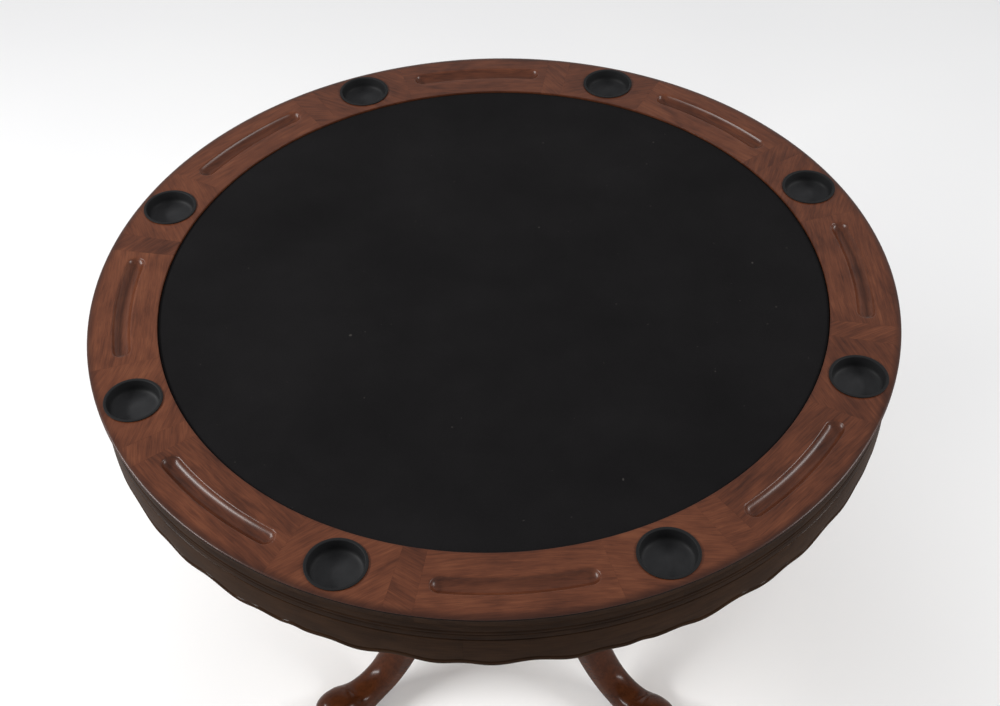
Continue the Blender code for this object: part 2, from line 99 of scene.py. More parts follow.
# ---- sizes of the finer shapes ----------------------------------------------------------------------
SEAM = 0.0001                        # visible seam between neighbouring pieces
CUP_BLOCK_ANGLE = math.radians(15.7)
FILLER_ANGLE = math.radians(3.7)     # narrow strip between a cup block and the next trough block
TROUGH_SHIFT = math.radians(1.6)     # trough's middle, from the middle between two cups
TROUGH_HALF_ANGLE = math.radians(11.25)
TROUGH_RADIUS = 0.015
TROUGH_DEPTH = 0.009
TROUGH_LIP = 0.0034                  # radius of the trough's soft lip
BOWL_STEPS = 11                      # points up the trough's wall
LIP_STEPS = 6                        # points over the trough's lip
EASE_WIDTH = 0.009                   # the rail's eased outer edge
EASE_DEPTH = 0.003
EASE_TURN = math.radians(80.0)       # the eased edge's curve, from level towards upright
EASE_STEPS = 7
CHAMFER = 0.0015                     # the rail's inner edge
ARC_STEPS = 40                       # points along each long side of a rail block
END_STEPS = 24                       # points along each end of a rail block
CUP_HOLE_RADIUS = 0.0402
BEAD_GROOVES = (0.0370, 0.0440)      # depth of the band's two grooves below the rail's surface
TOP_SPANS = 4                        # spans across a rail block's flat top
FELT_SIDES = 288
FELT_SPANS = 45                      # spans from the felt's middle to its edge
FELT_MIDDLE = 0.004                  # radius of the felt's innermost ring
BAND_STEPS = 90                      # steps along a quarter of the band
APRON_DEPTH = 0.0520                 # apron's height at a scallop depth of zero
APRON_STEPS = 108                    # steps along one apron board
# half a scallop, from its middle outwards: degrees round the table, and depth beyond the apron's height
SCALLOP = (
    (0.0, 0.0000),
    (2.0, 0.0027),
    (5.0, 0.0007),
    (8.7, 0.0060),
    (13.8, -0.0018),
    (19.0, 0.0060),
    (22.5, 0.0018),
)
HUB_HALF = 0.0600                    # half the square hub's width
HUB_CORNER = 0.005
HUB_SIDES = 96
HUB_BORE_RADIUS = 0.0320
HUB_BORE_ROOF = 0.030                # wood left above the bore
BOLT_SEAT = 0.0305                   # where a bolt's head bears on the bore, from the table's axis
BOLT_THREAD_START = 0.062            # where its thread enters the leg
BOLT_TURNS = 26
LEG_SOLE = 0.0058
LEG_SIDES = 44
LEG_SPANS = 7                        # spans from one leg station to the next
# leg stations: distance from the axis, height, width across, depth along the curve's normal, and how square
# the section is above its middle and below it
LEG_STATIONS = (
    (0.0603, 0.246, 0.060, 0.128, 4.2, 6.0),
    (0.1000, 0.249, 0.061, 0.112, 3.2, 6.5),
    (0.1400, 0.233, 0.060, 0.097, 2.6, 7.0),
    (0.1760, 0.199, 0.058, 0.082, 2.2, 8.0),
    (0.2060, 0.155, 0.056, 0.069, 2.05, 9.0),
    (0.2330, 0.110, 0.055, 0.059, 2.0, 9.0),
    (0.2600, 0.077, 0.055, 0.050, 2.0, 9.0),
    (0.2860, 0.056, 0.055, 0.043, 2.0, 8.0),
    (0.3130, 0.045, 0.056, 0.040, 2.1, 6.5),
    (0.3360, 0.040, 0.060, 0.043, 2.3, 5.0),
    (0.3560, 0.038, 0.068, 0.055, 2.5, 4.0),
    (0.3780, 0.040, 0.075, 0.071, 2.4, 3.4),
    (0.3980, 0.041, 0.074, 0.074, 2.3, 3.0),
    (0.4130, 0.039, 0.062, 0.061, 2.2, 2.6),
    (0.4230, 0.037, 0.038, 0.038, 2.1, 2.2),
)
GOLDEN = 0.6180339887                # spreads the pieces' places in the tree evenly

# ---- sizes of the wood's pattern ------------------------------------------------------------------
# how fast each feature changes in x, y and z, with the grain along y
GRAIN_SHIFT = (3.1, 7.7, 5.3)        # how far apart the pieces' places in the tree are
SWAY_RATE = (9.0, 4.0, 9.0)
SWAY_WIDTH = 0.024                   # how far the grain wanders sideways
STREAK_RATE = (260.0, 16.0, 200.0)
FIBRE_RATE = (820.0, 34.0, 820.0)
FIGURE_RATE = (13.0, 3.2, 13.0)
FIGURE_RINGS = 95.0
BLOTCH_RATE = (30.0, 15.0, 30.0)
PORE_RATE = (900.0, 40.0, 900.0)
# how much each feature counts in the wood's shade
STREAK_SHARE = 0.34
FIBRE_SHARE = 0.28
RING_SHARE = 0.035
BLOTCH_SHARE = 0.39
TONE_SHARE = 0.065
PORE_SHARE = 0.50
LEG_GRAIN_TILT = 0.75                # the grain follows a leg down at this angle


# ---- mesh helpers ---------------------------------------------------------------------------------
def polar(angle, radius, level):
    """Point at an angle and a distance from the table's axis."""
    return Vector((radius * math.cos(angle), radius * math.sin(angle), level))


def between(low, high, share):
    """Value a share of the way from low to high."""
    return low + (high - low) * share


def rounded(points, steps=4, closed=False):
    """Outline through (across, up, corner radius) points with its corners rounded."""
    made = []
    count = len(points)
    for index, (across, up, radius) in enumerate(points):
        inside = closed or 0 < index < count - 1
        if not inside or not radius:
            made.append((across, up))
            continue
        here = Vector((across, up))
        before = Vector(points[index - 1][:2]) - here
        after = Vector(points[(index + 1) % count][:2]) - here
        setback = radius / math.tan(before.angle(after) / 2.0)
        setback = min(setback, before.length * 0.49, after.length * 0.49)
        start = here + before.normalized() * setback
        end = here + after.normalized() * setback
        for step in range(steps + 1):
            share = step / steps
            point = start * (1.0 - share) ** 2 + here * 2.0 * share * (1.0 - share) + end * share ** 2
            made.append((point.x, point.y))
    return made


def smooth_path(points, steps):
    """Catmull-Rom curve through rows of numbers, with steps points to each span."""
    made = []
    last = len(points) - 1
    for index in range(last):
        rows = [points[max(index - 1, 0)], points[index], points[index + 1], points[min(index + 2, last)]]
        for step in range(steps):
            t = step / steps
            weights = (
                (-t + 2.0 * t ** 2 - t ** 3) / 2.0,
                (2.0 - 5.0 * t ** 2 + 3.0 * t ** 3) / 2.0,
                (t + 4.0 * t ** 2 - 3.0 * t ** 3) / 2.0,
                (t ** 3 - t ** 2) / 2.0,
            )
            point = []
            for column in zip(*rows):
                point.append(sum(weight * value for weight, value in zip(weights, column)))
            made.append(tuple(point))
    made.append(tuple(points[last]))
    return made


def finished(name, shape, materials, smooth_angle=32.0):
    """Turn a bmesh into a smooth-shaded object with the given materials."""
    mesh = bpy.data.meshes.new(name)
    bmesh.ops.recalc_face_normals(shape, faces=shape.faces[:])
    shape.to_mesh(mesh)
    shape.free()
    for material in materials:
        mesh.materials.append(material)
    mesh.shade_smooth()
    mesh.set_sharp_from_angle(angle=math.radians(smooth_angle))
    made = bpy.data.objects.new(name, mesh)
    bpy.context.scene.collection.objects.link(made)
    return made


def lofted(name, rings, materials, wrap=False, slots=None, smooth_angle=32.0):
    """Surface through closed rings of equally many points; its ends are capped unless it wraps round."""
    count = len(rings[0])
    shape = bmesh.new()
    grid = [[shape.verts.new(point) for point in ring] for ring in rings]
    spans = list(zip(grid, grid[1:]))
    if wrap:
        spans.append((grid[-1], grid[0]))
    else:
        shape.faces.new(grid[0])
        shape.faces.new(grid[-1])
    for number, (inner, outer) in enumerate(spans):
        for step in range(count):
            following = (step + 1) % count
            face = shape.faces.new((inner[step], inner[following], outer[following], outer[step]))
            face.material_index = slots[number] if slots else 0
    return finished(name, shape, materials, smooth_angle)


def turned(name, profile, sides, materials, smooth_angle=32.0):
    """Solid of revolution about Z from (radius, level) points; it starts and ends near the axis."""
    rings = []
    for radius, level in profile:
        rings.append([polar(2.0 * math.pi * step / sides, radius, level) for step in range(sides)])
    return lofted(name, rings, materials, smooth_angle=smooth_angle)


def swept(name, section_at, start, end, steps, materials):
    """Closed section (radius, level) carried round the table's axis; section_at gives it for each angle."""
    rings = []
    for step in range(steps + 1):
        angle = between(start, end, step / steps)
        rings.append([polar(angle, radius, level) for radius, level in section_at(angle)])
    return lofted(name, rings, materials)


def place(made, body, angle=0.0, offset=(0.0, 0.0, 0.0)):
    """Turn a piece about the table's axis, move it, and let it ride on its body.

    The turn goes into the mesh, and the piece keeps it as a number so that its grain turns back with it."""
    made.data.transform(Matrix.Rotation(angle, 4, "Z"))
    made["facing"] = -angle
    made.location = offset
    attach(made, body)
    return made


def vary(made, number, lean=0.0, tone=None):
    """Give a piece its own stretch of wood: where in the tree, the grain's lean, and how light it is."""
    share = (number * GOLDEN) % 1.0
    made["grain"] = share
    made["lean"] = lean
    made["tone"] = share if tone is None else tone
    return made


# ---- materials ------------------------------------------------------------------------------------
class Recipe:
    """A material that is put together node by node."""

    def __init__(self, name, roughness, specular=0.5, coat=0.0, coat_roughness=0.1):
        self.material = bpy.data.materials.new(name)
        self.material.use_nodes = True
        self.tree = self.material.node_tree
        self.shader = self.tree.nodes["Principled BSDF"]
        self.shader.inputs["Roughness"].default_value = roughness
        self.shader.inputs["Specular IOR Level"].default_value = specular
        self.shader.inputs["Coat Weight"].default_value = coat
        self.shader.inputs["Coat Roughness"].default_value = coat_roughness

    def add(self, kind, inputs=None, **settings):
        """Add a node; inputs holds values or the sockets that feed it."""
        node = self.tree.nodes.new("ShaderNode" + kind)
        for key, value in settings.items():
            setattr(node, key, value)
        for key, value in (inputs or {}).items():
            self.feed(node.inputs[key], value)
        return node

    def feed(self, socket, value):
        """Link a socket to another, or set its value."""
        if isinstance(value, bpy.types.NodeSocket):
            self.tree.links.new(value, socket)
        else:
            socket.default_value = value

    def math(self, operation, first, second=0.0):
        """Result of a Math node."""
        return self.add("Math", {0: first, 1: second}, operation=operation).outputs[0]

    def vector(self, operation, first, second=(0.0, 0.0, 0.0)):
        """Result of a Vector Math node."""
        node = self.add("VectorMath", {0: first, 1: second}, operation=operation)
        return node.outputs["Value" if operation == "LENGTH" else "Vector"]

    def noise(self, spot, scale, detail=2.0, roughness=0.5, distortion=0.0):
        """Noise from 0 to 1 at a spot."""
        inputs = {
            "Vector": spot,
            "Scale": scale,
            "Detail": detail,
            "Roughness": roughness,
            "Distortion": distortion,
        }
        return self.add("TexNoise", inputs).outputs["Fac"]

    def stretched_noise(self, spot, rate, detail=2.0, roughness=0.5, distortion=0.0):
        """Noise that changes at its own rate along each axis."""
        return self.noise(self.vector("MULTIPLY", spot, rate), 1.0, detail, roughness, distortion)

    def stretch(self, low, high, value, new_low=0.0, new_high=1.0):
        """Value mapped from one range to another and clamped."""
        inputs = {"Value": value, "From Min": low, "From Max": high, "To Min": new_low, "To Max": new_high}
        return self.add("MapRange", inputs, clamp=True).outputs[0]

    def ramp(self, value, stops):
        """Colour from a ramp of (position, colour) stops."""
        node = self.add("ValToRGB", {"Fac": value})
        elements = node.color_ramp.elements
        for element, (position, colour) in zip(elements[:], (stops[0], stops[-1])):
            element.position = position
            element.color = (*colour, 1.0)
        for position, colour in stops[1:-1]:
            elements.new(position).color = (*colour, 1.0)
        return node.outputs["Color"]

    def blend(self, share, first, second):
        """Two colours mixed."""
        node = self.add("Mix", data_type="RGBA")
        self.feed(node.inputs[0], share)
        self.feed(node.inputs[6], first)
        self.feed(node.inputs[7], second)
        return node.outputs[2]

    def own(self, name):
        """A number that the piece itself carries."""
        return self.add("Attribute", attribute_type="OBJECT", attribute_name=name).outputs["Fac"]

    def objects(self):
        """Coordinates in the piece's own axes, in metres."""
        return self.add("TexCoord").outputs["Object"]

    def radius(self):
        """Distance from the Z axis of the piece's own axes."""
        return self.vector("LENGTH", self.vector("MULTIPLY", self.objects(), (1.0, 1.0, 0.0)))

    def bump(self, height, strength, distance):
        """Raise the surface by a height map."""
        node = self.add("Bump", {"Height": height, "Strength": strength, "Distance": distance})
        self.feed(self.shader.inputs["Normal"], node.outputs["Normal"])

    def colour(self, value):
        """Set the base colour."""
        self.feed(self.shader.inputs["Base Color"], value)


def wood(name, stops, along, rough, **finish):
    """Stained wood. along says which way its grain runs: "x", "y", "z", "round" the table or down a "leg"."""
    recipe = Recipe(name, rough, **finish)
    facing = {"Vector": recipe.objects(), "Angle": recipe.own("facing")}
    place_in = recipe.add("VectorRotate", facing).outputs[0]
    if along == "round":
        split = recipe.add("SeparateXYZ", {0: place_in})
        angle = recipe.math("ARCTAN2", split.outputs["Y"], split.outputs["X"])
        radius = recipe.vector("LENGTH", place_in)
        arc = recipe.math("MULTIPLY", angle, SIDE_RADIUS)
        place_in = recipe.add("CombineXYZ", {0: split.outputs["Z"], 1: arc, 2: radius}).outputs[0]
    if along == "leg":
        tilt = {"Vector": place_in, "Angle": LEG_GRAIN_TILT, "Axis": (0.0, 1.0, 0.0)}
        place_in = recipe.add("VectorRotate", tilt).outputs[0]
    lean = recipe.math("ADD", recipe.own("lean"), 0.0 if along in ("y", "round") else math.pi / 2.0)
    axis = (1.0, 0.0, 0.0) if along == "z" else (0.0, 0.0, 1.0)
    turned_place = recipe.add("VectorRotate", {"Vector": place_in, "Angle": lean, "Axis": axis}).outputs[0]
    shift = recipe.add("CombineXYZ", {0: recipe.own("grain"), 1: recipe.own("grain"), 2: recipe.own("grain")})
    shift = recipe.vector("MULTIPLY", shift.outputs[0], GRAIN_SHIFT)
    spot = recipe.vector("ADD", turned_place, shift)

    sway = recipe.stretched_noise(spot, SWAY_RATE)
    sway = recipe.math("MULTIPLY", recipe.math("SUBTRACT", sway, 0.5), SWAY_WIDTH)
    bent = recipe.vector("ADD", spot, recipe.add("CombineXYZ", {0: sway}).outputs[0])
    streaks = recipe.stretched_noise(bent, STREAK_RATE, 4.0, 0.62)
    fibres = recipe.stretched_noise(bent, FIBRE_RATE, 2.0, 0.6)
    figure = recipe.stretched_noise(bent, FIGURE_RATE, 1.5, 0.4)
    rings = recipe.stretch(-1.0, 1.0, recipe.math("SINE", recipe.math("MULTIPLY", figure, FIGURE_RINGS)))
    blotch = recipe.stretched_noise(bent, BLOTCH_RATE, 3.0, 0.55)
    pores = recipe.stretch(0.60, 0.72, recipe.stretched_noise(bent, PORE_RATE))

    mixed = recipe.math("MULTIPLY", streaks, STREAK_SHARE)
    for feature, share in ((fibres, FIBRE_SHARE), (rings, RING_SHARE), (blotch, BLOTCH_SHARE)):
        mixed = recipe.math("ADD", mixed, recipe.math("MULTIPLY", feature, share))
    tone = recipe.stretch(0.0, 1.0, recipe.own("tone"), -TONE_SHARE, TONE_SHARE)
    shade = recipe.ramp(recipe.math("ADD", mixed, tone), stops)
    shade = recipe.blend(recipe.math("MULTIPLY", pores, PORE_SHARE), shade, (*stops[0][1], 1.0))
    recipe.grain_colour = shade
    recipe.streaks = streaks
    recipe.pores = pores
    rough_map = recipe.stretch(0.25, 0.75, blotch, rough - 0.05, rough + 0.07)
    recipe.feed(recipe.shader.inputs["Roughness"], rough_map)
    recipe.colour(shade)
    return recipe


def raise_grain(recipe, ridges, strength, distance):
    """Bump of a wood recipe: its streaks stand up by the ridges' share, and its pores are sunk."""
    height = recipe.math("SUBTRACT", recipe.math("MULTIPLY", recipe.streaks, ridges), recipe.pores)
    recipe.bump(height, strength, distance)


def rail_wood_material():
    """Red-brown stain under satin lacquer, with painted shade darkening the rail's outer ease, its inner edge
    and its sunken troughs and cup holes.
    """
    stops = (
        (0.34, (0.036, 0.0108, 0.0056)),
        (0.46, (0.074, 0.0220, 0.0102)),
        (0.56, (0.106, 0.0320, 0.0144)),
        (0.70, (0.150, 0.0490, 0.0218)),
    )
    recipe = wood("rail_wood_lacquer", stops, "y", 0.30, specular=0.03, coat=0.40, coat_roughness=0.28)
    radius = recipe.radius()
    # painted shade: the colour darkens over the outer ease, along the inner edge and down into the troughs
    # and cup holes
    outer = recipe.stretch(RAIL_OUTER - 0.012, RAIL_OUTER - 0.002, radius)
    inner = recipe.stretch(RAIL_INNER + 0.004, RAIL_INNER, radius)
    level = recipe.add("SeparateXYZ", {0: recipe.objects()}).outputs["Z"]
    sunk = recipe.stretch(RAIL_TOP - 0.0002, RAIL_TOP - 0.004, level)
    painted_edge_shade = recipe.math("MAXIMUM", recipe.math("MULTIPLY", outer, 0.70), recipe.math("MULTIPLY", inner, 0.25))
    painted_edge_shade = recipe.math("MAXIMUM", painted_edge_shade, recipe.math("MULTIPLY", sunk, 0.16))
    # the painted shade's dark colour is blended over the grain
    recipe.colour(recipe.blend(painted_edge_shade, recipe.grain_colour, (0.020, 0.0065, 0.0040, 1.0)))
    raise_grain(recipe, 0.4, 0.05, 0.0001)
    return recipe.material


def side_wood_material():
    """Very dark brown lacquer, with the grain running round the table; the nosing's face is painted nearly
    black as shade under the rail's edge.
    """
    stops = (
        (0.34, (0.0110, 0.0048, 0.0021)),
        (0.50, (0.0200, 0.0092, 0.0042)),
        (0.68, (0.0320, 0.0150, 0.0070)),
    )
    recipe = wood("side_wood_lacquer", stops, "round", 0.30, specular=0.0, coat=0.10, coat_roughness=0.14)
    # painted shade: the nosing's face, beyond the side's radius, is blended to nearly black
    nosing = recipe.stretch(SIDE_RADIUS + 0.0020, SIDE_RADIUS + 0.0036, recipe.radius(), 0.0, 0.94)
    recipe.colour(recipe.blend(nosing, recipe.grain_colour, (0.0016, 0.0009, 0.0006, 1.0)))
    raise_grain(recipe, 0.5, 0.06, 0.0002)
    return recipe.material


def leg_wood_material(name, along):
    """Deep red-brown stain under gloss lacquer; on the turned column the grain stands upright."""
    stops = (
        (0.32, (0.018, 0.0052, 0.0020)),
        (0.46, (0.040, 0.0112, 0.0038)),
        (0.56, (0.056, 0.0155, 0.0050)),
        (0.72, (0.080, 0.0230, 0.0078)),
    )
    recipe = wood(name, stops, along, 0.26, specular=0.03, coat=0.27, coat_roughness=0.20)
    raise_grain(recipe, 0.4, 0.05, 0.0001)
    return recipe.material


def bare_wood_material(name, along, stops):
    """Bare planed wood or veneer for the hidden structure."""
    recipe = wood(name, stops, along, 0.62, specular=0.3)
    raise_grain(recipe, 0.6, 0.25, 0.0004)
    return recipe.material


def felt_material():
    """Black wool felt: matted fibres, a soft nap and a few pale specks of lint."""
    recipe = Recipe("black_felt", 0.95, specular=0.03)
    recipe.shader.inputs["Sheen Weight"].default_value = 0.012
    recipe.shader.inputs["Sheen Roughness"].default_value = 0.55
    spot = recipe.objects()
    nap = recipe.noise(spot, 5.0, 3.0, 0.6)
    mat = recipe.noise(spot, 620.0, 3.0, 0.7, 1.2)
    fibres = recipe.stretched_noise(spot, (1500.0, 500.0, 900.0), 2.0, 0.6, 2.0)
    lint = recipe.stretch(0.800, 0.820, recipe.noise(spot, 120.0, 1.0, 0.5))
    mixed = recipe.math("ADD", recipe.math("MULTIPLY", nap, 0.5), recipe.math("MULTIPLY", mat, 0.5))
    stops = (
        (0.30, (0.0050, 0.0047, 0.0050)),
        (0.50, (0.0080, 0.0075, 0.0079)),
        (0.72, (0.0122, 0.0115, 0.0120)),
    )
    shade = recipe.ramp(mixed, stops)
    recipe.colour(recipe.blend(lint, shade, (0.040, 0.037, 0.034, 1.0)))
    recipe.bump(recipe.math("ADD", mat, fibres), 0.55, 0.0006)
    return recipe.material


def plastic_material(name, dark, light, rough, rim=None):
    """Moulded plastic with a fine cast texture and handling marks; beyond the rim radius it is painted plain
    dark, as shade over a cup's wall and flange.
    """
    recipe = Recipe(name, rough, specular=0.16)
    spot = recipe.objects()
    cast = recipe.noise(spot, 1800.0, 2.0, 0.6)
    wear = recipe.noise(spot, 34.0, 4.0, 0.65)
    shade = recipe.ramp(wear, ((0.35, dark), (0.70, light)))
    if rim:
        # painted shade: darker from the floor's edge outwards, over the cup's wall and flange
        beyond = recipe.stretch(rim - 0.0050, rim, recipe.radius(), 0.0, 0.80)
        shade = recipe.blend(beyond, shade, (0.0048, 0.0050, 0.0054, 1.0))
    recipe.colour(shade)
    recipe.feed(recipe.shader.inputs["Roughness"], recipe.stretch(0.3, 0.7, wear, rough - 0.07, rough + 0.08))
    recipe.bump(cast, 0.16, 0.0002)
    return recipe.material


def zinc_material():
    """Zinc-plated steel, cloudy and faintly brushed."""
    recipe = Recipe("zinc_plate", 0.34)
    recipe.shader.inputs["Metallic"].default_value = 1.0
    spot = recipe.objects()
    cloud = recipe.noise(spot, 260.0, 4.0, 0.6)
    recipe.colour(recipe.ramp(cloud, ((0.30, (0.36, 0.37, 0.38)), (0.70, (0.62, 0.62, 0.60)))))
    recipe.feed(recipe.shader.inputs["Roughness"], recipe.stretch(0.3, 0.7, cloud, 0.26, 0.46))
    recipe.bump(recipe.stretched_noise(spot, (2500.0, 2500.0, 300.0)), 0.12, 0.0001)
    return recipe.material


def floor_material():
    """Pale seamless studio floor."""
    recipe = Recipe("studio_floor", 0.85, specular=0.1)
    soft = recipe.noise(recipe.objects(), 1.5, 2.0)
    recipe.colour(recipe.ramp(soft, ((0.30, (0.93, 0.93, 0.93)), (0.70, (0.95, 0.95, 0.945)))))
    return recipe.material


# ---- the rail -------------------------------------------------------------------------------------
def block_stations():
    """Points once round a rail block: share along it, share across it, and the matching point round a
    trough as its place along the straight (from -1 to 1) and its direction (along, across)."""
    made = []
    for step in range(ARC_STEPS):
        share = step / ARC_STEPS
        made.append((share, 1.0, 2.0 * share - 1.0, 0.0, 1.0))
    for step in range(END_STEPS):
        share = step / END_STEPS
        turn = math.pi * share
        made.append((1.0, 1.0 - share, 1.0, math.sin(turn), math.cos(turn)))
    for step in range(ARC_STEPS):
        share = step / ARC_STEPS
        made.append((1.0 - share, 0.0, 1.0 - 2.0 * share, 0.0, -1.0))
    for step in range(END_STEPS):
        share = step / END_STEPS
        turn = math.pi * share
        made.append((0.0, share, -1.0, -math.sin(turn), -math.cos(turn)))
    return made


def outer_profile():
    """The rail's outer edge from its flat top down: ease, nosing, undercut cove and side face."""
    ease_start = RAIL_OUTER - EASE_WIDTH
    points = []
    for step in range(EASE_STEPS + 1):
        turn = EASE_TURN * step / EASE_STEPS
        across = ease_start + EASE_WIDTH * math.sin(turn)
        points.append((across, RAIL_TOP - EASE_DEPTH * (1.0 - math.cos(turn)), 0.0))
    points.append((RAIL_OUTER, RAIL_TOP - 0.0030, 0.0))
    points.append((RAIL_OUTER, RAIL_TOP - 0.0052, 0.0007))
    points.append((SIDE_RADIUS + 0.0022, RAIL_TOP - 0.0064, 0.0))
    points.append((SIDE_RADIUS + 0.0006, RAIL_TOP - 0.0077, 0.0))
    points.append((SIDE_RADIUS, RAIL_TOP - 0.0100, 0.0))
    points.append((SIDE_RADIUS, RAIL_BOTTOM, 0.0))
    return rounded(points, 3)


def skirt_rings(stations, start, end):
    """Rings from a block's flat top, over its edges and down to its underside."""
    outer = outer_profile()
    corner = [
        (RAIL_INNER + CHAMFER, RAIL_TOP, 0.0),
        (RAIL_INNER, RAIL_TOP, CHAMFER),
        (RAIL_INNER, RAIL_BOTTOM, 0.0),
    ]
    eased = rounded(corner, 6)[:-1]
    drop = len(outer) - len(eased)
    levels = [between(eased[-1][1], RAIL_BOTTOM, (step + 1) / drop) for step in range(drop)]
    inner = eased + [(RAIL_INNER, level) for level in levels]
    rings = []
    for (inner_radius, inner_level), (outer_radius, outer_level) in zip(inner, outer):
        ring = []
        for share, across, *_ in stations:
            radius = between(inner_radius, outer_radius, across)
            ring.append(polar(between(start, end, share), radius, between(inner_level, outer_level, across)))
        rings.append(ring)
    return rings


def spread(lip, edge, steps):
    """Rings between a lip and the flat top's boundary, point by point."""
    made = []
    for step in range(1, steps):
        share = step / steps
        made.append([first.lerp(last, share) for first, last in zip(lip, edge)])
    return made


def rail_slots(rings, skirt):
    """Red-brown wood on top and over the nosing, dark side wood under the nosing."""
    # below this level the side wood takes over, and it paints the nosing's face nearly black as shade
    under = RAIL_TOP - 0.0026
    first_skirt = len(rings) - len(skirt)
    slots = []
    for number in range(len(rings)):
        is_side = number >= first_skirt and rings[number][0].z < under
        slots.append(1 if is_side else 0)
    return slots


def trough_ring(stations, shift, half_width, level):
    """One contour of the trough: a capsule bent along the seat circle."""
    half_opening = math.sqrt(TROUGH_RADIUS ** 2 - (TROUGH_RADIUS - TROUGH_DEPTH) ** 2)
    straight = SEAT_RADIUS * TROUGH_HALF_ANGLE - half_opening
    ring = []
    for _, _, place_along, along, across in stations:
        angle = shift + (place_along * straight + along * half_width) / SEAT_RADIUS
        ring.append(polar(angle, SEAT_RADIUS + across * half_width, level))
    return ring


def trough_contours():
    """Half width and level of the trough's contours, from its bottom to its soft lip."""
    ball_level = RAIL_TOP - TROUGH_DEPTH + TROUGH_RADIUS
    lip_drop = ball_level - RAIL_TOP + TROUGH_LIP
    lip_centre = math.sqrt((TROUGH_RADIUS + TROUGH_LIP) ** 2 - lip_drop ** 2)
    lip_turn = math.asin(lip_centre / (TROUGH_RADIUS + TROUGH_LIP))
    made = []
    for step in range(BOWL_STEPS + 1):
        turn = lip_turn * (0.03 + 0.97 * step / BOWL_STEPS)
        made.append((TROUGH_RADIUS * math.sin(turn), ball_level - TROUGH_RADIUS * math.cos(turn)))
    for step in range(1, LIP_STEPS + 1):
        turn = lip_turn * (1.0 - step / LIP_STEPS)
        half_width = lip_centre - TROUGH_LIP * math.sin(turn)
        made.append((half_width, RAIL_TOP - TROUGH_LIP + TROUGH_LIP * math.cos(turn)))
    return made


def hole_rings(edge):
    """A cup hole's rings from its foot to its eased rim, each point in line with one of the block's edge."""
    flat_centre = Vector((SEAT_RADIUS, 0.0, RAIL_TOP))
    outward = [(point - flat_centre).normalized() for point in edge]
    contours = (
        (0.0, RAIL_BOTTOM),
        (0.0, RAIL_TOP - 0.0008),
        (0.0003, RAIL_TOP - 0.0002),
        (0.0009, RAIL_TOP),
    )
    made = []
    for grow, level in contours:
        centre = Vector((SEAT_RADIUS, 0.0, level))
        made.append([centre + direction * (CUP_HOLE_RADIUS + grow) for direction in outward])
    return made


def make_rail(top, side):
    """Trough blocks, cup blocks and the filler strips between them."""
    stations = block_stations()
    half_cup = CUP_BLOCK_ANGLE / 2.0
    half_seam = SEAM / (2.0 * RAIL_OUTER)
    tray_half = STATION_ANGLE / 2.0 - half_cup
    leans = (0.75, -0.55, 0.95, -0.80, 0.60, -0.95, 0.50, -0.70)
    tones = (0.45, 0.75, 0.35, 0.60, 0.85, 0.40, 0.70, 0.25)
    for index in range(STATIONS):
        number = index + 1
        tray_angle = TOP_TURN + index * STATION_ANGLE
        skirt = skirt_rings(stations, -tray_half + FILLER_ANGLE + half_seam, tray_half - half_seam)
        lips = [trough_ring(stations, TROUGH_SHIFT, width, level) for width, level in trough_contours()]
        rings = lips + spread(lips[-1], skirt[0], TOP_SPANS) + skirt
        tray = lofted(f"trough_block_{number}", rings, (top, side), slots=rail_slots(rings, skirt))
        vary(tray, number, 0.04 * math.sin(3.0 * index), tones[index])
        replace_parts(place(tray, "game_top", tray_angle), f"rail_tray_block_{number}")

        skirt = skirt_rings(stations, -tray_half + half_seam, -tray_half + FILLER_ANGLE - half_seam)
        strip = lofted(f"filler_strip_{number}", skirt, (top, side), slots=rail_slots(skirt, skirt))
        vary(strip, number + 20, 1.2 - 0.1 * index, 1.0 - tones[index])
        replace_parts(place(strip, "game_top", tray_angle), f"rail_tray_block_{number}")

        skirt = skirt_rings(stations, -half_cup + half_seam, half_cup - half_seam)
        hole = hole_rings(skirt[0])
        rings = hole + spread(hole[-1], skirt[0], TOP_SPANS) + skirt
        block = lofted(f"cup_block_{number}", rings, (top, side), wrap=True, slots=rail_slots(rings, skirt))
        vary(block, number + 40, leans[index], tones[(index * 3 + 2) % STATIONS])
        cup_angle = tray_angle + STATION_ANGLE / 2.0
        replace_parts(place(block, "game_top", cup_angle), f"rail_cup_block_{number}")


# ---- field, band and cups -------------------------------------------------------------------------
def make_felt(material):
    """Felt stretched over the field board and tucked down round its edge."""
    rows = []
    for step in range(FELT_SPANS + 1):
        rows.append((between(FELT_MIDDLE, FELT_REACH - 0.0022, step / FELT_SPANS), FELT_TOP))
    for inset, drop in ((0.0013, 0.00012), (0.0007, 0.00045), (0.0003, 0.0010), (0.0002, 0.0018)):
        rows.append((FELT_REACH - inset, FELT_TOP - drop))
    rows.append((FELT_REACH - 0.0002, FELT_BOTTOM + 0.0001))
    rings = []
    for radius, level in rows:
        ring = []
        for step in range(FELT_SIDES):
            point = polar(2.0 * math.pi * step / FELT_SIDES, radius, level)
            lie = noise.noise(point * 6.0) * 0.00010 + noise.noise(point * 45.0) * 0.00005
            point.z += lie - 0.00012
            ring.append(point)
        rings.append(ring)
    felt = lofted("felt", rings, (material,), smooth_angle=60.0)
    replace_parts(place(felt, "game_top", TOP_TURN), "felt_cover")


